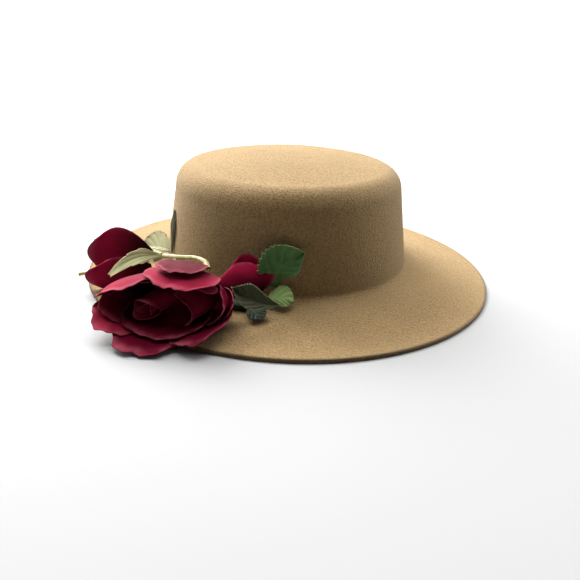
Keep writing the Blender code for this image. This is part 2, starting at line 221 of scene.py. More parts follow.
# base, bend and tip steer the midrib, each as angle, share and rise; left and right: half widths
# from base to tip seen from in front; fold: how far each half folds up from the midrib; arch: how
# far the midrib bows out, in shares of TRIM
LEAVES = (
    Leaf("leaf_upright", (257.2, 0.03, 0.23), (253.4, 0.045, 0.50), (268.0, 0.02, 0.78), (262, 10),
         0.37, 0.25, 0.50, 0.06, 0.05, 15),
    Leaf("leaf_folded", (258.4, 0.32, 0.20), (251.1, 0.40, 0.20), (244.3, 0.44, 0.50), (262, 30),
         0.14, 0.22, 0.55, 0.08, 0.03, 13),
    Leaf("leaf_light", (254.2, 0.19, 0.10), (258.3, 0.16, 0.19), (263.6, 0.19, 0.13), (262, 50),
         0.24, 0.13, 0.50, -0.03, 0.03, 10),
    Leaf("leaf_shaded", (248.6, 0.31, 0.09), (251.2, 0.37, 0.06), (254.0, 0.43, 0.04), (270, 80),
         0.16, 0.17, 0.50, 0.03, 0.02, 9),
    Leaf("leaf_back", (189.8, -0.02, 0.15), (184.7, 0.13, 0.20), (180.5, 0.34, 0.20), (255, 45),
         0.16, 0.34, 0.45, 0.04, 0.04, 12),
    Leaf("leaf_side", (196.0, 0.008, 0.20), (194.0, -0.028, 0.55), (192.5, -0.060, 0.92), (196, 0),
         0.12, 0.12, 0.45, -0.01, 0.01, 12),
)
SEPALS = (
    Leaf("sepal_large", (209.4, 0.30, 0.49), (207.1, 0.58, 0.66), (207.9, 0.88, 0.44), (258, 25),
         0.13, 0.13, 0.24, 0.02, 0.0, 4),
    Leaf("sepal_curled", (213.0, 0.21, 0.47), (218.0, 0.22, 0.42), (218.1, 0.40, 0.39), (258, 10),
         0.05, 0.05, 0.50, 0.02, 0.0, 3),
)
# Routes of the stems, each stop as angle, share and rise
STEM_ROUTE = ((209.2, 0.257, 0.464), (217.0, 0.165, 0.485), (223.0, 0.11, 0.51), (228.5, 0.13, 0.52),
              (231.5, 0.18, 0.47))
TWIG_ROUTE = ((196.8, 0.84, 0.27), (196.6, 1.12, 0.25))
CALYX_ENDS = ((206.3, 0.33, 0.46), (208.8, 0.265, 0.463))


class HatSettings(PropertyGroup):
    felt_colour: FloatVectorProperty(
        name="Felt colour", description="Colour of the brushed felt in full light", subtype="COLOR",
        default=(0.280, 0.180, 0.072), min=0.0, max=1.0)
    # Painted shade: the pits of the felt's relief are painted this darker colour, which also gives random
    # mottling
    felt_pit_shade_and_mottle: FloatVectorProperty(
        name="Felt flecks", description="Darker colour of the hollows between its fibres", subtype="COLOR",
        default=(0.142, 0.087, 0.036), min=0.0, max=1.0)
    grain: FloatProperty(
        name="Grain", description="Width of one pit of the felt's orange-peel surface", unit="LENGTH",
        default=0.0011, min=0.0002, max=0.01)
    nap_count: IntProperty(
        name="Nap fibres", description="Loose fibres that stand on the felt", default=22000, min=0, max=30000)
    nap_length: FloatProperty(
        name="Nap length", description="Length of a loose fibre", unit="LENGTH",
        default=0.0011, min=0.0002, max=0.01)
    crown_wave: FloatProperty(
        name="Crown wave", description="How far the hand-shaped crown strays from an oval", unit="LENGTH",
        default=0.00035, min=0.0, max=0.005)


class FlowerSettings(PropertyGroup):
    silk_colour: FloatVectorProperty(
        name="Silk", description="Deep red of the petals", subtype="COLOR",
        default=(0.230, 0.0080, 0.030), min=0.0, max=1.0)
    # Painted highlight: this paler red is painted in patches along each petal's rim
    silk_rim: FloatVectorProperty(
        name="Silk rim", description="Paler red where a petal's edge has worn", subtype="COLOR",
        default=(0.27, 0.050, 0.075), min=0.0, max=1.0)
    # Painted shade: this darkest red is painted towards each petal's foot, deep in the rose, and into random
    # stains
    silk_heart: FloatVectorProperty(
        name="Silk foot", description="Darkest red, towards the foot of each petal", subtype="COLOR",
        default=(0.022, 0.0008, 0.0035), min=0.0, max=1.0)
    silk_wall: FloatProperty(
        name="Silk thickness", description="Thickness of the stiffened silk", unit="LENGTH",
        default=0.00045, min=0.0001, max=0.002)


class LeafSettings(PropertyGroup):
    dark: FloatVectorProperty(
        name="Dark leaf", description="Upper face of the dark leaves", subtype="COLOR",
        default=(0.074, 0.178, 0.050), min=0.0, max=1.0)
    olive: FloatVectorProperty(
        name="Olive leaf", description="Dull face of the folded and side leaves", subtype="COLOR",
        default=(0.050, 0.058, 0.027), min=0.0, max=1.0)
    light: FloatVectorProperty(
        name="Light leaf", description="Upper face of the light leaf", subtype="COLOR",
        default=(0.220, 0.320, 0.100), min=0.0, max=1.0)
    pale: FloatVectorProperty(
        name="Pale leaf", description="Grey-green under faces and sepals", subtype="COLOR",
        default=(0.420, 0.415, 0.220), min=0.0, max=1.0)
    stem: FloatVectorProperty(
        name="Stem", description="Moulded stem and twig", subtype="COLOR",
        default=(0.680, 0.590, 0.300), min=0.0, max=1.0)
    leaf_wall: FloatProperty(
        name="Leaf thickness", description="Thickness of the leaf cloth", unit="LENGTH",
        default=0.0005, min=0.0001, max=0.002)


class StudioSettings(PropertyGroup):
    floor_colour: FloatVectorProperty(
        name="Floor", description="Plain pale floor and backdrop", subtype="COLOR",
        default=(0.33, 0.33, 0.33), min=0.0, max=1.0)
    key_power: FloatProperty(
        name="Light", description="Power that the shares of all the lamps are taken of", unit="POWER",
        default=49.0, min=0.0)
    fill_strength: FloatProperty(
        name="Fill", description="Strength of the even light from all round", default=0.05, min=0.0)


def clear_start():
    """The default cube, lamp and camera of a new file, if they are there."""
    for item in list(bpy.data.objects):
        if item.name in ("Cube", "Light", "Camera"):
            bpy.data.objects.remove(item, do_unlink=True)


def brim_top(share):
    """Height of the brim's upper face at a share of the way from the crown's foot to the edge."""
    landed = 1 - EDGE_LAND / BRIM_SIDE
    left = max(0.0, 1 - max(share, 0.0) / landed)
    return FELT + (CREASE_HEIGHT - FELT) * left ** BRIM_DROP_POWER


def place(angle, share, rise):
    """A point over the brim: angle round the hat, share of the brim, rise in shares of TRIM."""
    turn = radians(angle)
    return Vector(((CROWN_HALF_WIDTH + BRIM_SIDE * share) * cos(turn),
                   (CROWN_HALF_LENGTH + BRIM_END * share) * sin(turn),
                   brim_top(share) + rise * TRIM))


def looking(turn, lift):
    """The direction turn degrees round and lift degrees up."""
    turn, lift = radians(turn), radians(lift)
    return Vector((cos(turn) * cos(lift), sin(turn) * cos(lift), sin(lift)))


def smooth_step(low, high, value):
    """0 below low, 1 above high, with a soft start and end between."""
    t = np.clip((value - low) / (high - low), 0.0, 1.0)
    return t * t * (3 - 2 * t)


# Node helpers for the materials

def new_material(name):
    made = bpy.data.materials.new(name)
    made.use_nodes = True
    tree = made.node_tree
    return made, tree, tree.nodes["Principled BSDF"]


def node(tree, kind, **values):
    made = tree.nodes.new(kind)
    for key, value in values.items():
        setattr(made, key, value)
    return made


def set_inputs(owner, values):
    """Gives a node's inputs their values, by name."""
    for key, value in values.items():
        owner.inputs[key].default_value = value


def share_of(tree, share, value):
    """A share of a socket's value."""
    return maths(tree, "MULTIPLY", value, share)


def noise(tree, vector, scale, detail=2.0, roughness=0.5, distortion=0.0):
    made = node(tree, "ShaderNodeTexNoise")
    set_inputs(made, {"Scale": scale, "Detail": detail, "Roughness": roughness, "Distortion": distortion})
    tree.links.new(vector, made.inputs["Vector"])
    return made.outputs["Fac"]


def ramp(tree, value, low, high):
    """0 below low and 1 above high, smoothly."""
    made = node(tree, "ShaderNodeMapRange", interpolation_type="SMOOTHSTEP")
    set_inputs(made, {"From Min": low, "From Max": high})
    tree.links.new(value, made.inputs["Value"])
    return made.outputs["Result"]


def mix(tree, share, first, second):
    """first and second are colours or sockets."""
    made = node(tree, "ShaderNodeMix", data_type="RGBA")
    for socket, value in ((made.inputs[6], first), (made.inputs[7], second)):
        if isinstance(value, bpy.types.NodeSocket):
            tree.links.new(value, socket)
        else:
            socket.default_value = (*value, 1.0)
    if isinstance(share, bpy.types.NodeSocket):
        tree.links.new(share, made.inputs[0])
    else:
        made.inputs[0].default_value = share
    return made.outputs[2]


def maths(tree, operation, first, second=0.0):
    """first and second are numbers or sockets."""
    made = node(tree, "ShaderNodeMath", operation=operation)
    for socket, value in ((made.inputs[0], first), (made.inputs[1], second)):
        if isinstance(value, bpy.types.NodeSocket):
            tree.links.new(value, socket)
        else:
            socket.default_value = value
    return made.outputs[0]


def bump(tree, height, strength, distance, below=None):
    """A relief as a normal, on top of the one below it."""
    made = node(tree, "ShaderNodeBump")
    set_inputs(made, {"Strength": strength, "Distance": distance})
    tree.links.new(height, made.inputs["Height"])
    if below is not None:
        tree.links.new(below, made.inputs["Normal"])
    return made.outputs["Normal"]


def attribute(tree, name):
    return node(tree, "ShaderNodeAttribute", attribute_name=name).outputs["Fac"]


def felt_material(settings):
    """Brushed wool felt: an orange-peel surface of matted fibres, flecked with painted shade in its pits and
    mottled darker at random.
    """
    made, tree, shader = new_material("brushed_felt")
    where = node(tree, "ShaderNodeTexCoord").outputs["Object"]
    pits = noise(tree, where, 1 / settings.grain, 3.0, 0.62, 0.3)
    fibres = noise(tree, where, 2.4 / settings.grain, 2.0, 0.6, 1.2)
    clouds = noise(tree, where, 26.0, 3.0, 0.55)
    wide = noise(tree, where, 7.0, 2.0, 0.5)
    # Painted shade in the pits of the relief
    pit_shaded = mix(tree, ramp(tree, pits, 0.34, 0.62), settings.felt_pit_shade_and_mottle, settings.felt_colour)
    lively = mix(tree, share_of(tree, 0.42, ramp(tree, fibres, 0.45, 0.75)), pit_shaded, (0.45, 0.315, 0.155))
    uneven = mix(tree, share_of(tree, 0.22, ramp(tree, clouds, 0.42, 0.70)), lively, settings.felt_pit_shade_and_mottle)
    final = mix(tree, share_of(tree, 0.14, ramp(tree, wide, 0.40, 0.66)), uneven, (0.33, 0.222, 0.094))
    # Painted shade: the brim's upright edge is painted dark
    cut = mix(tree, share_of(tree, 0.85, attribute(tree, "cut_edge")), final, (0.10, 0.066, 0.032))
    tree.links.new(cut, shader.inputs["Base Color"])
    set_inputs(shader, {"Roughness": 0.94, "Specular IOR Level": 0.12, "Sheen Weight": 0.22,
                        "Sheen Roughness": 0.55, "Sheen Tint": (0.95, 0.82, 0.62, 1.0)})
    coarse = bump(tree, pits, 1.0, 0.0009)
    fine = bump(tree, fibres, 0.6, 0.0002, coarse)
    tree.links.new(fine, shader.inputs["Normal"])
    return made


def silk_material(settings, name="silk_red", tint=(1.0, 1.0, 1.0), shine=1.0):
    """Stiffened silk: painted shade towards the foot, a painted highlight in patches along the rim, darker
    stains at random, with its plain weave and soft creases.

    tint scales its red, green and blue, to paint shade onto darker copies and light onto lighter ones, and
    shine its gloss and sheen.
    """
    made, tree, shader = new_material(name)
    where = node(tree, "ShaderNodeTexCoord").outputs["Object"]
    uv = node(tree, "ShaderNodeUVMap", uv_map="UVMap").outputs["UV"]
    rim, foot = attribute(tree, "rim"), attribute(tree, "foot")
    mottle = noise(tree, where, 95.0, 4.0, 0.6)
    stain = noise(tree, where, 34.0, 2.0, 0.5)
    # Painted shade, darker towards each petal's foot
    base = mix(tree, foot, tuple(c * t for c, t in zip(settings.silk_colour, tint)), settings.silk_heart)
    # Painted highlight in patches along the rim
    rim_highlighted = mix(tree, maths(tree, "MULTIPLY", rim, ramp(tree, mottle, 0.30, 0.65)), base, settings.silk_rim)
    uneven = mix(tree, share_of(tree, 0.35, ramp(tree, stain, 0.45, 0.75)), rim_highlighted, settings.silk_heart)
    tree.links.new(uneven, shader.inputs["Base Color"])
    weave = node(tree, "ShaderNodeTexWave", wave_type="BANDS", bands_direction="X")
    weave.inputs["Scale"].default_value = 55.0
    weft = node(tree, "ShaderNodeTexWave", wave_type="BANDS", bands_direction="Y")
    weft.inputs["Scale"].default_value = 55.0
    tree.links.new(uv, weave.inputs["Vector"])
    tree.links.new(uv, weft.inputs["Vector"])
    cloth = maths(tree, "MULTIPLY", weave.outputs["Fac"], weft.outputs["Fac"])
    creases = noise(tree, where, 130.0, 3.0, 0.55, 0.8)
    soft = bump(tree, creases, 0.35, 0.0006)
    tree.links.new(bump(tree, cloth, 0.30, 0.00008, soft), shader.inputs["Normal"])
    set_inputs(shader, {"Roughness": 0.78, "Specular IOR Level": 0.05 * shine, "Sheen Weight": 0.05 * shine,
                        "Sheen Roughness": 0.35, "Sheen Tint": (0.90, 0.30, 0.42, 1.0)})
    return made


def leaf_material(name, face, vein, dark_share=0.5, dry=(0.34, 0.27, 0.14)):
    """Printed leaf cloth: veins from the relief, blotches between them and a dry edge."""
    made, tree, shader = new_material(name)
    where = node(tree, "ShaderNodeTexCoord").outputs["Object"]
    ribs, rim = attribute(tree, "vein"), attribute(tree, "rim")
    blotch = noise(tree, where, 120.0, 4.0, 0.62)
    darker = tuple(c * 0.42 for c in face)
    base = mix(tree, share_of(tree, dark_share, ramp(tree, blotch, 0.40, 0.68)), face, darker)
    ribbed = mix(tree, share_of(tree, 0.75, ribs), base, vein)
    edge = tuple(0.5 * (a + b) for a, b in zip(vein, dry))
    edged = mix(tree, share_of(tree, 0.6, rim), ribbed, edge)
    tree.links.new(edged, shader.inputs["Base Color"])
    set_inputs(shader, {"Roughness": 0.62, "Specular IOR Level": 0.22})
    grain = noise(tree, where, 900.0, 2.0, 0.5)
    tree.links.new(bump(tree, grain, 0.35, 0.00012), shader.inputs["Normal"])
    return made


def stem_material(settings):
    """Moulded stem, streaked along its length and greener in patches."""
    made, tree, shader = new_material("moulded_stem")
    where = node(tree, "ShaderNodeTexCoord").outputs["Object"]
    streak = noise(tree, where, 260.0, 3.0, 0.6, 0.5)
    patch = noise(tree, where, 70.0, 2.0, 0.5)
    base = mix(tree, ramp(tree, streak, 0.35, 0.70), (0.40, 0.34, 0.14), settings.stem)
    greener = mix(tree, share_of(tree, 0.5, ramp(tree, patch, 0.45, 0.75)), base, (0.30, 0.34, 0.13))
    tree.links.new(greener, shader.inputs["Base Color"])
    set_inputs(shader, {"Roughness": 0.48, "Specular IOR Level": 0.45})
    tree.links.new(bump(tree, streak, 0.4, 0.0002), shader.inputs["Normal"])
    return made


def wire_material():
    """Bright iron wire with fine scratches."""
    made, tree, shader = new_material("bright_wire")
    where = node(tree, "ShaderNodeTexCoord").outputs["Object"]
    scratch = noise(tree, where, 1500.0, 2.0, 0.5)
    tree.links.new(mix(tree, scratch, (0.55, 0.54, 0.52), (0.80, 0.79, 0.76)), shader.inputs["Base Color"])
    set_inputs(shader, {"Metallic": 1.0, "Roughness": 0.28})
    return made


# Mesh helpers

def finish_mesh(name, points, faces, materials, kinds=None, uvs=None, attributes=None, sharp=radians(55)):
    """A smooth-shaded object; kinds gives each face's material, uvs and attributes each point's values."""
    mesh = bpy.data.meshes.new(name)
    mesh.from_pydata([tuple(p) for p in points], [], faces)
    for look in materials:
        mesh.materials.append(look)
    if kinds is not None:
        mesh.polygons.foreach_set("material_index", np.asarray(kinds, dtype=np.int32))
    if uvs is not None:
        layer = mesh.uv_layers.new(name="UVMap")
        loops = np.zeros(len(mesh.loops), dtype=np.int32)
        mesh.loops.foreach_get("vertex_index", loops)
        layer.data.foreach_set("uv", np.asarray(uvs, dtype=np.float32)[loops].ravel())
    for key, values in (attributes or {}).items():
        made = mesh.attributes.new(key, "FLOAT", "POINT")
        made.data.foreach_set("value", np.asarray(values, dtype=np.float32))
    mesh.shade_smooth()
    mesh.set_sharp_from_angle(angle=sharp)
    mesh.update()
    made = bpy.data.objects.new(name, mesh)
    bpy.context.scene.collection.objects.link(made)
    return made


def grid_normals(grid):
    """Unit normals of a grid of points."""
    along = np.gradient(grid, axis=0)
    across = np.gradient(grid, axis=1)
    normal = np.cross(across, along)
    return normal / np.maximum(np.linalg.norm(normal, axis=2, keepdims=True), 1e-12)


def closed_wall(name, grid, wall, front, back, attributes=None):
    """A closed thin wall round a grid (rows, columns, 3) of middle points; wall may vary over the grid."""
    rows, columns = grid.shape[:2]
    count = rows * columns
    half = grid_normals(grid) * (np.asarray(wall)[..., None] / 2 if np.ndim(wall) else wall / 2)
    points = np.concatenate([(grid + half).reshape(-1, 3), (grid - half).reshape(-1, 3)])
    index = np.arange(count).reshape(rows, columns)
    corners = [part.ravel() for part in (index[:-1, :-1], index[:-1, 1:], index[1:, 1:], index[1:, :-1])]
    faces = [tuple(int(i) for i in q) for q in zip(*corners)]
    faces += [tuple(int(i) + count for i in q) for q in zip(*reversed(corners))]
    kinds = [0] * (len(faces) // 2) + [1] * (len(faces) // 2)
    rim = list(index[0]) + list(index[1:, -1]) + list(index[-1, -2::-1]) + list(index[-2:0:-1, 0])
    for k, p in enumerate(rim):
        q = rim[(k + 1) % len(rim)]
        faces.append((int(q), int(p), int(p) + count, int(q) + count))
        kinds.append(0)
    v, u = np.meshgrid(np.linspace(0, 1, rows), np.linspace(0, 1, columns), indexing="ij")
    uvs = np.tile(np.stack([u, v], -1).reshape(-1, 2), (2, 1))
    both = {key: np.tile(values.ravel(), 2) for key, values in (attributes or {}).items()}
    return finish_mesh(name, points, faces, [front, back], kinds, uvs, both)


def ride_and_replace(piece, node_name):
    """Puts a piece on the hat's body in place of a node."""
    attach(piece, "root")
    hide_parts(node_name)
    return piece


# Felt body

def crown_profile(wall):
    """(step in from the crown's foot, height) up its wall and over its shoulder; wall is 0 outside."""
    shoulder_foot = HAT_HEIGHT - TOP_DOME - SHOULDER_RADIUS
    radius = SHOULDER_RADIUS - wall
    foot = CREASE_HEIGHT + CREASE_RADIUS
    rows = []
    for k in range(WALL_STEPS):
        rows.append((wall + WALL_TAPER * k / WALL_STEPS, foot + (shoulder_foot - foot) * k / WALL_STEPS))
    for k in range(SHOULDER_STEPS + 1):
        turn = k / SHOULDER_STEPS * pi / 2
        rows.append((WALL_TAPER + SHOULDER_RADIUS - radius * cos(turn), shoulder_foot + radius * sin(turn)))
    return rows


def felt_rings():
    """(half width, half length, height) of every ring, from the top's middle outside to its middle inside."""
    def crown(wall):
        made = [(CROWN_HALF_WIDTH - i, CROWN_HALF_LENGTH - i, h) for i, h in crown_profile(wall)]
        last = made[-1]
        for k in range(1, TOP_STEPS):
            share = 1 - k / TOP_STEPS
            made.append((last[0] * share, last[1] * share, last[2] + TOP_DOME * (1 - share * share)))
        return made

    rings = list(reversed(crown(0.0)))
    for k in range(1, CREASE_STEPS):
        turn = k / CREASE_STEPS * pi / 2
        out = CREASE_RADIUS * (1 - cos(turn))
        height = CREASE_HEIGHT + CREASE_RADIUS * (1 - sin(turn))
        rings.append((CROWN_HALF_WIDTH + out, CROWN_HALF_LENGTH + out, height))
    first = CREASE_RADIUS / BRIM_SIDE
    shares = [first + (1 - first) * k / BRIM_STEPS for k in range(BRIM_STEPS + 1)]
    for s in shares[:-1]:
        rings.append((CROWN_HALF_WIDTH + BRIM_SIDE * s, CROWN_HALF_LENGTH + BRIM_END * s, brim_top(s)))
    for out, up in ((-EDGE_ROUNDING, FELT), (0.0, FELT - EDGE_ROUNDING), (0.0, EDGE_ROUNDING),
                    (-EDGE_ROUNDING, 0.0)):
        rings.append((BRIM_HALF_WIDTH + out, CROWN_HALF_LENGTH + BRIM_END + out, up))
    landed = 1 - EDGE_LAND / BRIM_SIDE
    for s in [landed] + [s for s in reversed(shares) if s < landed - 0.01]:
        rings.append((CROWN_HALF_WIDTH + BRIM_SIDE * s, CROWN_HALF_LENGTH + BRIM_END * s, brim_top(s) - FELT))
    rings += crown(FELT)
    return rings


def make_felt(settings):
    """The felt wall as one closed mesh, its crown leaning and waving a little as hand-shaped felt does."""
    rings = np.array(felt_rings())
    turn = np.linspace(0, 2 * pi, HAT_SIDES, endpoint=False)
    x = rings[:, 0:1] * np.cos(turn)
    y = rings[:, 1:2] * np.sin(turn)
    z = np.repeat(rings[:, 2:3], HAT_SIDES, axis=1)
    lifted = np.clip((z - CREASE_HEIGHT) / (HAT_HEIGHT - CREASE_HEIGHT), 0, 1)
    z = z + CROWN_LEAN * lifted * x / CROWN_HALF_WIDTH
    wobble = np.sin(3 * turn + 0.7) + 0.6 * np.sin(5 * turn + 2.1) + 0.4 * np.sin(8 * turn + 4.0)
    wobble = settings.crown_wave * wobble
    height = smooth_step(0.02, 0.07, z)
    x = x + np.cos(turn) * wobble * height
    y = y + np.sin(turn) * wobble * height
    count = len(rings)
    points = np.stack([x, y, z], -1).reshape(-1, 3)
    index = np.arange(count * HAT_SIDES).reshape(count, HAT_SIDES)
    after = np.roll(index, -1, axis=1)
    quads = np.stack([index[1:], after[1:], after[:-1], index[:-1]], -1).reshape(-1, 4)
    faces = [tuple(int(i) for i in q) for q in quads]
    top, inner = len(points), len(points) + 1
    points = np.concatenate([points, [(0, 0, HAT_HEIGHT), (0, 0, HAT_HEIGHT - FELT)]])
    for i in range(HAT_SIDES):
        faces.append((int(index[0, i]), int(after[0, i]), top))
        faces.append((int(after[-1, i]), int(index[-1, i]), inner))
    # The brim's upright edge, which the felt paints dark as shade
    edge = np.repeat((rings[:, 0] > BRIM_HALF_WIDTH - 0.0006).astype(float), HAT_SIDES)
    marks = {"cut_edge": np.concatenate([edge, [0.0, 0.0]])}
    look = felt_material(settings)
    return finish_mesh("felt_hat", points, faces, [look], attributes=marks, sharp=radians(48))


def nap_tree(look):
    """Scatters short slanted fibres over a surface, except where it lies on the floor, as one mesh."""
    tree = bpy.data.node_groups.new("felt_nap", "GeometryNodeTree")
    face = tree.interface
    face.new_socket("Geometry", in_out="INPUT", socket_type="NodeSocketGeometry")
    for name, kind, value in (("Fibres", "NodeSocketInt", 20000), ("Length", "NodeSocketFloat", 0.001),
                              ("Width", "NodeSocketFloat", NAP_WIDTH), ("Seed", "NodeSocketInt", NAP_SEED)):
        face.new_socket(name, in_out="INPUT", socket_type=kind).default_value = value
    face.new_socket("Geometry", in_out="OUTPUT", socket_type="NodeSocketGeometry")
    given, result = tree.nodes.new("NodeGroupInput"), tree.nodes.new("NodeGroupOutput")

    def add(kind, **values):
        made = tree.nodes.new(kind)
        for key, value in values.items():
            setattr(made, key, value)
        return made

    link = tree.links.new
    scatter = add("GeometryNodeDistributePointsOnFaces", distribute_method="RANDOM")
    area = add("GeometryNodeAttributeStatistic", data_type="FLOAT", domain="FACE")
    face_area = add("GeometryNodeInputMeshFaceArea")
    density = add("ShaderNodeMath", operation="DIVIDE")
    link(given.outputs["Geometry"], area.inputs["Geometry"])
    link(face_area.outputs[0], area.inputs["Attribute"])
    link(given.outputs["Fibres"], density.inputs[0])
    link(area.outputs["Sum"], density.inputs[1])
    link(given.outputs["Geometry"], scatter.inputs["Mesh"])
    where, height = add("GeometryNodeInputPosition"), add("ShaderNodeSeparateXYZ")
    clear = add("ShaderNodeMath", operation="GREATER_THAN")
    clear.inputs[1].default_value = NAP_CLEARANCE
    above = add("ShaderNodeMath", operation="MULTIPLY")
    link(where.outputs[0], height.inputs[0])
    link(height.outputs[2], clear.inputs[0])
    link(density.outputs[0], above.inputs[0])
    link(clear.outputs[0], above.inputs[1])
    link(above.outputs[0], scatter.inputs["Density"])
    link(given.outputs["Seed"], scatter.inputs["Seed"])
    fibre = add("GeometryNodeMeshCone", fill_type="NONE")
    set_inputs(fibre, {"Vertices": 3, "Side Segments": 1, "Radius Top": 0.15, "Radius Bottom": 1.0,
                       "Depth": 1.0})
    place_on = add("GeometryNodeInstanceOnPoints")
    lean = add("FunctionNodeRandomValue", data_type="FLOAT_VECTOR")
    set_inputs(lean, {"Min": (-NAP_LEAN, -NAP_LEAN, -pi), "Max": (NAP_LEAN, NAP_LEAN, pi)})
    turned = add("FunctionNodeRotateRotation", rotation_space="LOCAL")
    as_rotation = add("FunctionNodeEulerToRotation")
    link(lean.outputs[0], as_rotation.inputs[0])
    link(scatter.outputs["Rotation"], turned.inputs[0])
    link(as_rotation.outputs[0], turned.inputs[1])
    size = add("ShaderNodeCombineXYZ")
    vary = add("FunctionNodeRandomValue", data_type="FLOAT")
    vary.inputs[2].default_value = 0.5
    vary.inputs[3].default_value = 1.3
    longer = add("ShaderNodeMath", operation="MULTIPLY")
    link(given.outputs["Length"], longer.inputs[0])
    link(vary.outputs[1], longer.inputs[1])
    link(given.outputs["Width"], size.inputs[0])
    link(given.outputs["Width"], size.inputs[1])
    link(longer.outputs[0], size.inputs[2])
    link(scatter.outputs["Points"], place_on.inputs["Points"])
    link(fibre.outputs["Mesh"], place_on.inputs["Instance"])
    link(turned.outputs[0], place_on.inputs["Rotation"])
    link(size.outputs[0], place_on.inputs["Scale"])
    whole = add("GeometryNodeRealizeInstances")
    coloured = add("GeometryNodeSetMaterial")
    coloured.inputs["Material"].default_value = look
    link(place_on.outputs["Instances"], whole.inputs["Geometry"])
    link(whole.outputs["Geometry"], coloured.inputs["Geometry"])
    link(coloured.outputs["Geometry"], result.inputs["Geometry"])
    return tree


def grown_from(name, carrier, tree, values):
    """Runs a node tree on a carrier object and keeps the result as a plain mesh."""
    modifier = carrier.modifiers.new("grow", "NODES")
    modifier.node_group = tree
    for item in tree.interface.items_tree:
        if item.item_type == "SOCKET" and item.in_out == "INPUT" and item.name in values:
            modifier[item.identifier] = values[item.name]
    bpy.context.view_layer.update()
    evaluated = carrier.evaluated_get(bpy.context.evaluated_depsgraph_get())
    mesh = bpy.data.meshes.new_from_object(evaluated)
    mesh.name = name
    carrier.modifiers.remove(modifier)
    made = bpy.data.objects.new(name, mesh)
    bpy.context.scene.collection.objects.link(made)
    return made


# Petals

def petal_outline(u, v, foot, belly, round_end):
    """Where u across and v along fall on a petal that widens from its foot to its belly and ends round."""
    wide = foot + (1 - foot) * np.sin(pi / 2 * np.minimum(v / belly, 1.0))
    wide = wide * (1 - 0.06 * smooth_step(0.7, 1.0, v))
    return u * wide, v * (1 - round_end * np.abs(u) ** 2.2)


def petal_marks(u, v):
    """How near a point is to the petal's rim, and to its foot."""
    side = smooth_step(0.86, 1.0, np.abs(u)) * smooth_step(0.15, 0.5, v)
    rim = np.clip(smooth_step(0.86, 1.0, v) + side, 0, 1)
    # foot marks where the silk is painted darker as shade, rim where it is painted lighter as highlight
    return {"rim": rim, "foot": 1 - smooth_step(0.1, 0.80, v)}


def uv_grid(rows, columns):
    """v from 0 at the foot to 1 at the tip, and u from -1 to 1 across."""
    return np.meshgrid(np.linspace(0, 1, rows), np.linspace(-1, 1, columns), indexing="ij")


def settle(grid, wall):
    """Lifts what would sink into the brim, or into the floor beyond its edge."""
    x, y = grid[..., 0], grid[..., 1]
    low, high = (np.full(x.shape, share) for share in SETTLE_SHARES)
    for _ in range(SETTLE_STEPS):
        share = (low + high) / 2
        across, along = CROWN_HALF_WIDTH + BRIM_SIDE * share, CROWN_HALF_LENGTH + BRIM_END * share
        outside = (x / across) ** 2 + (y / along) ** 2 > 1
        low, high = np.where(outside, share, low), np.where(outside, high, share)
    top = np.vectorize(brim_top)(share) * (1 - smooth_step(1.0, 1.04, share))
    grid[..., 2] = np.maximum(grid[..., 2], top + wall)
    return grid


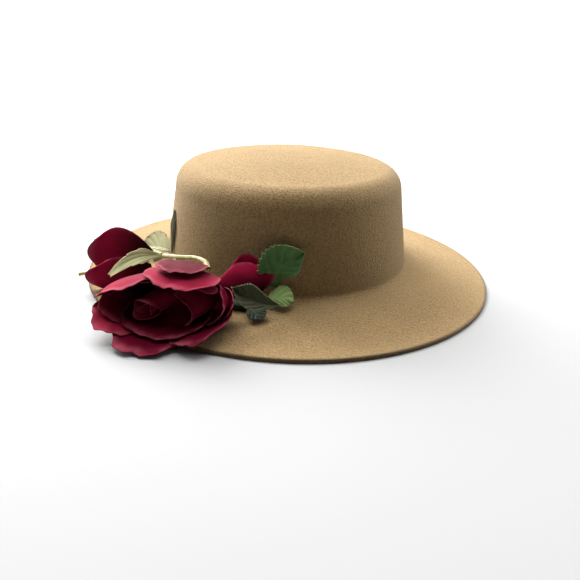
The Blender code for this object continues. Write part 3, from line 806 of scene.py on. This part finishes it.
class Rose:
    """Nested oval shells round one axis: every petal is a patch of its own shell."""

    def __init__(self):
        self.middle = np.array(place(*ROSE_PLACE))
        front = looking(*ROSE_FACING)
        right = front.cross(Vector((0, 0, -1))).normalized()
        up = right.cross(-front).normalized()
        self.front, self.right, self.up = np.array(front), np.array(right), np.array(up)

    @staticmethod
    def between(low, high, clock):
        """low at the rose's foot, high at its top."""
        return low + (high - low) * (1 + np.sin(clock)) / 2

    def point(self, ring, clock, psi):
        """Places on a ring's shell, clock round its axis and psi from its back over to its mouth."""
        over = psi > pi / 2
        curl = self.between(LOW_CURL, HOOD_CURL, clock)
        reach = self.between(LOW_REACH, HOOD_REACH, clock)
        girth = np.where(over, 1 - curl * (1 - np.sin(psi)), np.sin(psi))
        forward = np.where(over, ring * RING_PITCH - reach, ring * RING_PITCH - ROSE_DEPTH)
        wide = ROSE_WIDTH / 2 - ring * RING_PITCH_WIDE
        mouth = smooth_step(0.9, 1.6, psi)
        sag = 1 + ROSE_SAG * max(0, ring - 1) * smooth_step(0.0, 1.0, -np.sin(clock)) * mouth
        tall = (ROSE_HEIGHT / 2 - ring * RING_PITCH) * sag
        wide = wide * (1 - ROSE_RIGHT_PINCH * np.maximum(0.0, np.cos(clock)))
        high = np.sin(clock)
        upper_left = smooth_step(0.0, 0.5, -np.cos(clock)) * (high > 0)
        high = high * (1 - upper_left * ROSE_LEFT_SLOPE * (1 - np.abs(high)) ** 0.7)
        out = self.right * (wide * np.cos(clock) * girth)[..., None]
        out = out + self.up * (tall * high * girth)[..., None]
        return self.middle + out + self.front * (forward * np.cos(psi))[..., None]

    def petal(self, row, look, wall, seed, rows=40, columns=44):
        """A patch of a ring's shell, scalloped and nicked at its rim, which ripples and rolls out."""
        v, u = uv_grid(rows, columns)
        across, along = petal_outline(u, v, PETAL_FOOT_WIDTH, PETAL_BELLY, PETAL_ROUNDING)
        scallop = row.scallop * np.sin(2.1 * pi * u + seed) * smooth_step(0.5, 1.0, v)
        nicks = 0.013 * (1 + np.sin(5.2 * pi * u + seed)) * smooth_step(0.6, 1.0, v)
        along = along * (1 - scallop * 0.35 - nicks)
        start = asin(min(0.9, (ROSE_CORE + CORE_CLEARANCE) / (ROSE_HEIGHT / 2 - row.ring * RING_PITCH)))
        clock = np.radians(row.clock - row.span * across)
        psi = start + (radians(row.rim) - start) * along
        grid = self.point(row.ring, clock, psi)
        if row.ring == 0 and row.clock < 180:
            grid = grid + self.up * (SMALL_HOOD_LIFT * smooth_step(0.1, 0.5, v) * (1 - 0.6 * v))[..., None]
        if row.ring == INNER_RING:
            aside = self.right * INNER_ASIDE - self.up * INNER_BELOW
            grid = grid + aside * smooth_step(0.1, 1.0, v)[..., None]
        out = -grid_normals(grid)
        edge = smooth_step(0.55, 1.0, v)
        side = smooth_step(0.6, 1.0, np.abs(u)) * smooth_step(0.2, 0.8, v)
        ripple = row.wave * 0.5 * np.sin(2.3 * pi * u + seed * 1.7) * edge
        ripple += row.wave * 0.25 * np.sin(3.3 * v * pi + seed) * side
        flank = smooth_step(0.8, 1.0, np.abs(u)) * smooth_step(0.3, 0.8, v)
        roll = row.roll * (smooth_step(0.82, 1.0, v) ** 1.5 + 0.6 * flank)
        folds = 0.12 * np.sin(9 * u + 3 * np.sin(4 * v + seed)) * smooth_step(0.1, 0.4, v) * (1 - edge)
        grid = settle(grid + out * ((ripple + roll + folds) * MM)[..., None], wall)
        return closed_wall("silk_" + row.node, grid, wall, look, look, petal_marks(u, v))

    def at(self, side, up, ahead):
        """A place in the rose's own directions from its middle."""
        return self.middle + self.right * side + self.up * up + self.front * ahead


def blade_grid(row, foot, rows, columns, upper):
    """Middle points of a free petal between two places, as the frame has it."""
    start, end = np.array(place(*row.start)), np.array(place(*row.end))
    length = np.linalg.norm(end - start)
    axis = (end - start) / length
    facing = np.array(looking(*row.facing))
    normal = facing - axis * facing.dot(axis)
    normal /= np.linalg.norm(normal)
    side = np.cross(axis, normal)
    v, u = uv_grid(rows, columns)
    across, reach = petal_outline(u, v, foot, row.belly, 0.35 * min(row.tip, 1) + 0.05)
    across = across * (1 - row.tip * np.maximum(0.0, (v - row.belly) / (1 - row.belly)) ** 2 * 0.85)
    across = np.where(u > 0, across * upper, across)
    bow = row.arch * TRIM * 4 * v * (1 - v) + row.cup * TRIM * across * across
    aside = across * row.width * TRIM / 2 + row.sweep * TRIM * v * v
    grid = start + axis * (length * reach)[..., None] + side * aside[..., None] + normal * bow[..., None]
    return grid, u, v


def free_petal(row, look, wall, seed, foot, wave=0.5, roll=0.6, upper=1.0):
    """A free petal whose rim ripples and turns out; upper narrows its upper half."""
    grid, u, v = blade_grid(row, foot, 36, 40, upper)
    edge = smooth_step(0.5, 1.0, v) + smooth_step(0.6, 1.0, np.abs(u)) * smooth_step(0.2, 0.6, v)
    ripple = 0.4 * wave * (np.sin(2.1 * pi * u + seed) + 0.5 * np.sin(3.1 * pi * v + seed * 2)) * edge
    turned = roll * np.clip(edge - 0.6, 0, 1) ** 2
    folds = 0.12 * np.sin(8 * u + 2 * np.sin(5 * v + seed)) * (1 - np.clip(edge, 0, 1))
    grid = settle(grid + grid_normals(grid) * ((ripple - turned + folds) * MM)[..., None], wall)
    return closed_wall("silk_" + row.node, grid, wall, look, look, petal_marks(u, v))


def leaf_veins(u, v, pairs):
    """Relief of a midrib and paired side veins, from 0 to 1, and the puckers between them."""
    midrib = np.exp(-(u / 0.045) ** 2) * (1 - 0.6 * v)
    phase = v * pairs - np.abs(u) * 1.5
    off = np.abs(phase - np.round(phase))
    inside = 1 - smooth_step(0.8, 1.0, np.abs(u))
    sides = np.exp(-(off / 0.085) ** 2) * smooth_step(0.02, 0.1, np.abs(u)) * inside
    puckers = np.cos(2 * pi * phase) * smooth_step(0.05, 0.35, np.abs(u)) * inside
    return np.clip(midrib + 0.55 * sides, 0, 1), puckers


def leaf_cloth(row, front, back, wall, seed, blunt=0.0, pucker=0.30):
    """A cloth leaf on a curved midrib, with a saw-toothed edge and the relief of its veins."""
    base, bend, tip = (np.array(place(*p)) for p in (row.base, row.bend, row.tip))
    rows, columns = 160, 30
    v, u = uv_grid(rows, columns)
    t = np.linspace(0, 1, rows)[:, None]
    midrib = base * (1 - t) ** 2 + bend * 2 * t * (1 - t) + tip * t * t
    axis = 2 * (bend - base) * (1 - t) + 2 * (tip - bend) * t
    length = float(np.linalg.norm(np.diff(midrib, axis=0), axis=1).sum())
    axis /= np.linalg.norm(axis, axis=1, keepdims=True)
    facing = np.array(looking(*row.facing))
    normal = facing - axis * (axis @ facing)[:, None]
    normal /= np.linalg.norm(normal, axis=1, keepdims=True)
    side = np.cross(axis, normal)
    widen = np.sin(pi / 2 * np.minimum(v / row.belly, 1.0)) ** 0.75
    past = np.maximum(0.0, (v - row.belly) / (1 - row.belly))
    close = 1 - (1 - blunt) * past ** (1.9 - 2.5 * blunt)
    saw = 1 - (v * row.teeth) % 1.0
    toothed = 1 - 0.13 * saw * smooth_step(0.84, 1.0, np.abs(u)) * smooth_step(0.06, 0.2, v)
    half = np.where(u > 0, row.right, row.left) * TRIM * (0.05 + 0.95 * widen) * close * toothed
    forward = 0.16 * length * np.abs(u) * widen * close * (1 - 0.3 * v)
    grid = midrib[:, None, :] + side[:, None, :] * (u * half)[..., None]
    grid = grid + axis[:, None, :] * forward[..., None]
    lift = row.fold * TRIM * np.abs(u) * widen + row.arch * TRIM * 4 * v * (1 - v)
    grid = grid + normal[:, None, :] * lift[..., None]
    veins, puckers = leaf_veins(u, v, row.teeth * 0.45)
    sway = 0.6 * np.sin(2.2 * pi * v + seed) * np.abs(u) * smooth_step(0.1, 0.4, v)
    relief = (-0.30 * veins - pucker * puckers * 0.5 + sway) * MM
    grid = settle(grid + grid_normals(grid) * relief[..., None], wall)
    marks = {"vein": veins, "rim": smooth_step(0.92, 1.0, np.abs(u)) * 0.8 + 0.2 * smooth_step(0.97, 1.0, v)}
    return closed_wall("cloth_" + row.node, grid, wall, front, back, marks)


def tube_mesh(name, route, radius, looks, sides=20, grooves=0.0, hollow=0.0):
    """A round bar along points, with grooves along it and, if hollow, an open cut end."""
    middle = np.array(route)
    radius = np.broadcast_to(np.asarray(radius, dtype=float), (len(middle),))
    tangent = np.gradient(middle, axis=0)
    tangent /= np.linalg.norm(tangent, axis=1, keepdims=True)
    side = np.cross(tangent, (0, 0, 1.0))
    side /= np.linalg.norm(side, axis=1, keepdims=True)
    up = np.cross(side, tangent)
    turn = np.linspace(0, 2 * pi, sides, endpoint=False)
    ring = side[:, None, :] * np.cos(turn)[None, :, None] + up[:, None, :] * np.sin(turn)[None, :, None]
    ring = ring * (1 + grooves * np.cos(5 * turn))[None, :, None]
    rows = [middle[k] + ring[k] * radius[k] for k in range(len(middle))]
    if hollow:
        rows.append(middle[-1] + ring[-1] * radius[-1] * 0.55)
        rows.append(middle[-1] - tangent[-1] * hollow + ring[-1] * radius[-1] * 0.45)
    points = np.concatenate(rows)
    faces = []
    for k in range(len(rows) - 1):
        for i in range(sides):
            j = (i + 1) % sides
            faces.append(((k + 1) * sides + i, (k + 1) * sides + j, k * sides + j, k * sides + i))
    faces.append(tuple(range(sides)))
    faces.append(tuple(reversed(range((len(rows) - 1) * sides, len(rows) * sides))))
    return finish_mesh(name, points, faces, looks)


def smooth_route(stops, count):
    """A smooth curve through a few places, as count points."""
    known = np.array([place(*s) for s in stops])
    if len(known) == 2:
        return known[0] + (known[1] - known[0]) * np.linspace(0, 1, count)[:, None]
    padded = np.concatenate([[2 * known[0] - known[1]], known, [2 * known[-1] - known[-2]]])
    made = []
    for t in np.linspace(0, len(known) - 1 - 1e-9, count):
        k, f = int(t), t - int(t)
        a, b, c, d = padded[k:k + 4]
        bend = (2 * a - 5 * b + 4 * c - d) * f * f + (3 * b - a - 3 * c + d) * f ** 3
        made.append(0.5 * (2 * b + (c - a) * f + bend))
    return np.array(made)


class HAT_OT_felt(Operator):
    """Make the felt crown and brim with their nap of loose fibres"""
    bl_idname = "boater_hat.felt"
    bl_label = "Felt body"

    def execute(self, context):
        settings = context.scene.boater_hat
        felt = ride_and_replace(make_felt(settings), "hat_body")
        values = {"Fibres": settings.nap_count, "Length": settings.nap_length,
                  "Width": NAP_WIDTH, "Seed": NAP_SEED}
        nap = grown_from("felt_nap", felt, nap_tree(felt.data.materials[0]), values)
        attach(nap, "root")
        return {"FINISHED"}


class HAT_OT_rose(Operator):
    """Make the silk rose: its petals, rolled heart and bound foot"""
    bl_idname = "boater_hat.rose"
    bl_label = "Silk rose"

    def execute(self, context):
        settings = context.scene.boater_flowers
        silk = silk_material(settings)
        # Darker copies of the silk, as painted shade
        painted_shade = silk_material(settings, "silk_red_deep", PAINTED_SHADE_TINT, shine=0.0)
        soft_shade = silk_material(settings, "silk_red_dusky", SOFT_SHADE_TINT)
        rose = Rose()
        for k, row in enumerate(ROSE_PETALS):
            look = painted_shade if row.node in SHADE_PAINTED_PETALS else soft_shade if row.node in SOFT_SHADE_PETALS else silk
            piece = rose.petal(row, look, settings.silk_wall, k * 1.9)
            ride_and_replace(piece, row.node)
        self.heart(rose, silk, settings)
        self.foot(rose, context)
        return {"FINISHED"}

    def heart(self, rose, silk, settings):
        """A strip of silk rolled about two and a half turns, flared at its mouth."""
        rows, columns = 26, 120
        v, u = uv_grid(rows, columns)
        turn = (u + 1) / 2 * HEART_TURNS * 2 * pi
        radius = HEART_RADIUS + HEART_GROWTH * (u + 1) / 2
        flare = HEART_FLARE * smooth_step(0.8, 1.0, v)
        radius = radius * (0.62 + 0.38 * np.sin(pi * np.clip(v, 0, 1) * 0.75)) + flare
        ahead = -0.0215 + v * (0.030 - 0.004 * np.sin(1.7 * turn))
        lean = smooth_step(0.0, 1.0, v)[..., None]
        grid = rose.at(0, 0, 0) + (rose.right * INNER_ASIDE - rose.up * INNER_BELOW) * lean
        grid = grid + rose.right * (radius * 1.25 * np.cos(turn))[..., None]
        grid = grid + rose.up * (radius * np.sin(turn))[..., None] + rose.front * ahead[..., None]
        marks = petal_marks(u * 0.8, v)
        piece = closed_wall("silk_rose_heart", grid, settings.silk_wall * 0.8, silk, silk, marks)
        ride_and_replace(piece, "rose_heart")

    def foot(self, rose, context):
        """The bound foot, wound with cloth tape."""
        leaves = context.scene.boater_leaves
        tape = leaf_material("tape_green", tuple(leaves.dark), tuple(leaves.olive))
        back, front = BOUND_FOOT_BACK, BOUND_FOOT_FRONT
        wound = [(1.0 - 0.05 * (k % 2), 0.2 + 0.75 * k / 10) for k in range(11)]
        profile = [(0.6, 0.0), (0.86, 0.12), *wound, (0.9, 1.0)]
        sides, points, faces = 32, [], []
        for half, share in profile:
            for i in range(sides):
                turn = 2 * pi * i / sides
                reach = ROSE_CORE * half
                points.append(rose.at(reach * cos(turn), reach * sin(turn), back + (front - back) * share))
        for k in range(len(profile) - 1):
            for i in range(sides):
                j = (i + 1) % sides
                faces.append((k * sides + i, k * sides + j, (k + 1) * sides + j, (k + 1) * sides + i))
        faces.append(tuple(reversed(range(sides))))
        faces.append(tuple(range((len(profile) - 1) * sides, len(profile) * sides)))
        ride_and_replace(finish_mesh("bound_foot", points, faces, [tape]), "rose_foot")


class HAT_OT_loose_petals(Operator):
    """Make the bud's two petals and the two petals against the crown"""
    bl_idname = "boater_hat.loose_petals"
    bl_label = "Bud and side petals"

    def execute(self, context):
        settings = context.scene.boater_flowers
        # A lighter copy of the silk, as painted light
        silk = silk_material(settings, "silk_red_loose", PAINTED_LIGHT_TINT)
        for k, row in enumerate(BUD_PETALS):
            piece = free_petal(row, silk, settings.silk_wall, 1.3 + k * 2.2, BUD_FOOT_WIDTH,
                               upper=BUD_UPPER_WIDTHS[k])
            ride_and_replace(piece, row.node)
        for k, row in enumerate(SIDE_PETALS):
            piece = free_petal(row, silk, settings.silk_wall, 4.0 + k * 1.7, SIDE_FOOT_WIDTH)
            ride_and_replace(piece, row.node)
        return {"FINISHED"}


class HAT_OT_leaves(Operator):
    """Make the toothed leaves, the sepals and the pad that they are sewn to"""
    bl_idname = "boater_hat.leaves"
    bl_label = "Leaves and sepals"

    def execute(self, context):
        settings = context.scene.boater_leaves
        keys = ("dark", "olive", "light", "pale")
        dark, olive, light, pale = (tuple(getattr(settings, key)) for key in keys)
        dark_face = leaf_material("leaf_dark_face", dark, (0.17, 0.28, 0.09))
        dark_under = leaf_material("leaf_dark_under", olive, (0.18, 0.19, 0.09), 0.4)
        olive_face = leaf_material("leaf_olive_face", olive, (0.12, 0.13, 0.06), 0.4)
        light_face = leaf_material("leaf_light_face", light, (0.24, 0.30, 0.12), 0.45)
        pale_face = leaf_material("leaf_pale_face", pale, (0.42, 0.41, 0.26), 0.25)
        sepal_face = leaf_material("sepal_face", tuple(c * 1.5 for c in pale), (0.62, 0.60, 0.38), 0.25)
        # Painted shade: a near-black copy of the dark leaf colour, for the leaf in shade and the pad under
        # the flowers
        painted_shade, painted_shade_vein = (tuple(c * share for c in dark) for share in (0.12, 0.3))
        painted_shade_face = leaf_material("leaf_deep_face", painted_shade, painted_shade_vein, dry=(0.06, 0.05, 0.03))
        looks = {"leaf_upright": (dark_face, dark_under), "leaf_folded": (olive_face, dark_face),
                 "leaf_light": (light_face, olive_face), "leaf_shaded": (painted_shade_face, dark_under),
                 "leaf_back": (pale_face, dark_face), "leaf_side": (olive_face, dark_under)}
        for k, row in enumerate(LEAVES):
            piece = leaf_cloth(row, *looks[row.node], settings.leaf_wall, k * 2.1)
            ride_and_replace(piece, row.node)
        for k, row in enumerate(SEPALS):
            piece = leaf_cloth(row, sepal_face, pale_face, settings.leaf_wall, 5 + k, blunt=0.2, pucker=0.1)
            ride_and_replace(piece, row.node)
        self.pad(painted_shade_face)
        return {"FINISHED"}

    def pad(self, look):
        """The wad of cloth under the flowers, on the brim, painted near-black as shade."""
        rows, columns = 26, 30
        v, u = uv_grid(rows, columns)
        grid = np.zeros((rows, columns, 3))
        for r in range(rows):
            for c in range(columns):
                angle = PAD_MIDDLE + PAD_HALF_ANGLE * u[r, c] * (1 - 0.12 * (2 * v[r, c] - 1) ** 2)
                share = PAD_START + PAD_REACH * v[r, c]
                grid[r, c] = place(angle, share, (PAD_LIFT + PAD_THICKNESS / 2) / TRIM)
        wall = PAD_THICKNESS * (1 - 0.55 * np.maximum(np.abs(u), np.abs(2 * v - 1)) ** 4)
        flat = np.zeros_like(u)
        piece = closed_wall("backing_wad", grid, wall, look, look, {"vein": flat, "rim": flat})
        ride_and_replace(piece, "backing_pad")


class HAT_OT_stems(Operator):
    """Make the calyx, the stem with its cut end and wire, and the twig"""
    bl_idname = "boater_hat.stems"
    bl_label = "Stems"

    def execute(self, context):
        settings = context.scene.boater_leaves
        look = stem_material(settings)
        route = smooth_route(STEM_ROUTE, 40)
        share = np.linspace(0, 1, len(route))
        swell = STEM_RADIUS * (1 + 0.06 * np.sin(9 * share)) * (1 + 0.15 * smooth_step(0.9, 1.0, share))
        stem = tube_mesh("moulded_stem", route, swell, [look], grooves=0.07, hollow=0.0022)
        ride_and_replace(stem, "stem")
        ahead = route[-1] - route[-3]
        ahead /= np.linalg.norm(ahead)
        ends = [route[-1] - ahead * WIRE_INSIDE, route[-1] + ahead * WIRE_OUTSIDE]
        wire = tube_mesh("stem_wire", ends, WIRE_RADIUS, [wire_material()], sides=10)
        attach(wire, "root")
        route = smooth_route(TWIG_ROUTE, 16)
        swell = TWIG_RADIUS * (1 + 0.12 * np.sin(np.linspace(0, 6, 16)))
        twig = tube_mesh("moulded_twig", route, swell, [look], sides=14, grooves=0.08)
        ride_and_replace(twig, "twig")
        ends = smooth_route(CALYX_ENDS, 14)
        share = np.linspace(0, 1, 14)
        bulb = CALYX_RADIUS * (1 - 0.5 * share) * (1 - 0.25 * (1 - smooth_step(0.0, 0.2, share)))
        pale = leaf_material("calyx_pale", tuple(settings.pale), (0.42, 0.41, 0.26), 0.3)
        calyx = tube_mesh("calyx", ends, bulb, [pale], sides=24, grooves=0.06)
        ride_and_replace(calyx, "bud_calyx")
        return {"FINISHED"}


class HAT_OT_studio(Operator):
    """Set the pale floor and backdrop, the soft lights and the camera"""
    bl_idname = "boater_hat.studio"
    bl_label = "Studio"

    def execute(self, context):
        settings = context.scene.boater_studio
        self.backdrop(settings)
        self.lights(context, settings)
        self.camera(context)
        return {"FINISHED"}

    def backdrop(self, settings):
        """Floor and wall of one sheet of paper, which glows a little further off and so stays white."""
        made, tree, shader = new_material("studio_paper")
        where = node(tree, "ShaderNodeTexCoord").outputs["Object"]
        cloud = noise(tree, where, 3.0, 2.0)
        pale = tuple(settings.floor_colour)
        tree.links.new(mix(tree, cloud, pale, tuple(c * 0.985 for c in pale)), shader.inputs["Base Color"])
        shader.inputs["Roughness"].default_value = 0.9
        distance = node(tree, "ShaderNodeVectorMath", operation="LENGTH")
        tree.links.new(where, distance.inputs[0])
        glow = maths(tree, "MULTIPLY", ramp(tree, distance.outputs["Value"], 0.45, 1.4), 0.9)
        tree.links.new(glow, shader.inputs["Emission Strength"])
        shader.inputs["Emission Color"].default_value = (1.0, 1.0, 1.0, 1.0)
        profile = [(-2.0, 0.0), (1.2, 0.0)]
        for k in range(1, 9):
            turn = k * pi / 16
            profile.append((1.2 + PAPER_BEND * sin(turn), PAPER_BEND - PAPER_BEND * cos(turn)))
        profile.append((1.8, 2.6))
        points = [(x, y, z) for y, z in profile for x in (-2.5, 2.5)]
        faces = [(2 * k, 2 * k + 1, 2 * k + 3, 2 * k + 2) for k in range(len(profile) - 1)]
        paper = finish_mesh("studio_paper", points, faces, [made])

    def lights(self, context, settings):
        """A white surround, dimmer for what it lights than for the camera, and the lamps."""
        context.scene.view_settings.view_transform = "Standard"
        world = bpy.data.worlds.new("studio")
        context.scene.world = world
        world.use_nodes = True
        tree = world.node_tree
        sky = tree.nodes["Background"]
        seen = node(tree, "ShaderNodeLightPath").outputs["Is Camera Ray"]
        strength = maths(tree, "MAXIMUM", maths(tree, "MULTIPLY", seen, 0.9), settings.fill_strength)
        sky.inputs["Color"].default_value = (1.0, 1.0, 1.0, 1.0)
        tree.links.new(strength, sky.inputs["Strength"])
        for name, place_at, aim, size, share in LAMPS:
            data = bpy.data.lights.new(name, "AREA")
            data.energy, data.size = settings.key_power * share, size
            lamp = bpy.data.objects.new(name, data)
            lamp.location = place_at
            lamp.rotation_euler = (Vector(aim) - Vector(place_at)).to_track_quat("-Z", "Y").to_euler()
            context.scene.collection.objects.link(lamp)

    def camera(self, context):
        """The camera that was fitted to the hat's outlines."""
        data = bpy.data.cameras.new("camera")
        data.sensor_width = SENSOR
        data.lens = LENS_PIXELS / PICTURE * SENSOR
        data.shift_x = CAMERA_SHIFT / PICTURE
        data.clip_start = 0.01
        camera = bpy.data.objects.new("camera", data)
        aim = (Vector(CAMERA_TARGET) - Vector(CAMERA_PLACE)).to_track_quat("-Z", "Y")
        camera.matrix_world = (Matrix.Translation(CAMERA_PLACE) @ aim.to_matrix().to_4x4()
                               @ Matrix.Rotation(CAMERA_ROLL, 4, "Z"))
        context.scene.collection.objects.link(camera)
        context.scene.camera = camera


class HAT_PT_panel(Panel):
    """Lists the hat's pieces and their settings"""
    bl_label = "Boater hat"
    bl_idname = "HAT_PT_panel"
    bl_space_type = "VIEW_3D"
    bl_region_type = "UI"
    bl_category = "Boater Hat"

    def draw(self, context):
        layout = self.layout
        for title, group in GROUPS.items():
            box = layout.box()
            box.label(text=group[1])
            settings = getattr(context.scene, title)
            for key in settings.__annotations__:
                box.prop(settings, key)
        for made in OPERATORS:
            layout.operator(made.bl_idname)


# The scene's settings by name, each with its title in the panel
GROUPS = {
    "boater_hat": (HatSettings, "Felt"),
    "boater_flowers": (FlowerSettings, "Silk flowers"),
    "boater_leaves": (LeafSettings, "Leaves"),
    "boater_studio": (StudioSettings, "Studio"),
}
OPERATORS = (HAT_OT_felt, HAT_OT_rose, HAT_OT_loose_petals, HAT_OT_leaves, HAT_OT_stems, HAT_OT_studio)


def register():
    for group, _ in GROUPS.values():
        bpy.utils.register_class(group)
    for made in (*OPERATORS, HAT_PT_panel):
        bpy.utils.register_class(made)
    for name, (group, _) in GROUPS.items():
        setattr(bpy.types.Scene, name, PointerProperty(type=group))


def unregister():
    for name in GROUPS:
        delattr(bpy.types.Scene, name)
    for made in (HAT_PT_panel, *reversed(OPERATORS)):
        bpy.utils.unregister_class(made)
    for group, _ in GROUPS.values():
        bpy.utils.unregister_class(group)


def main():
    """Makes every piece and the studio."""
    clear_start()
    register()
    for made in OPERATORS:
        group, name = made.bl_idname.split(".")
        getattr(getattr(bpy.ops, group), name)()
    bpy.context.view_layer.update()


if __name__ == "__main__":
    main()
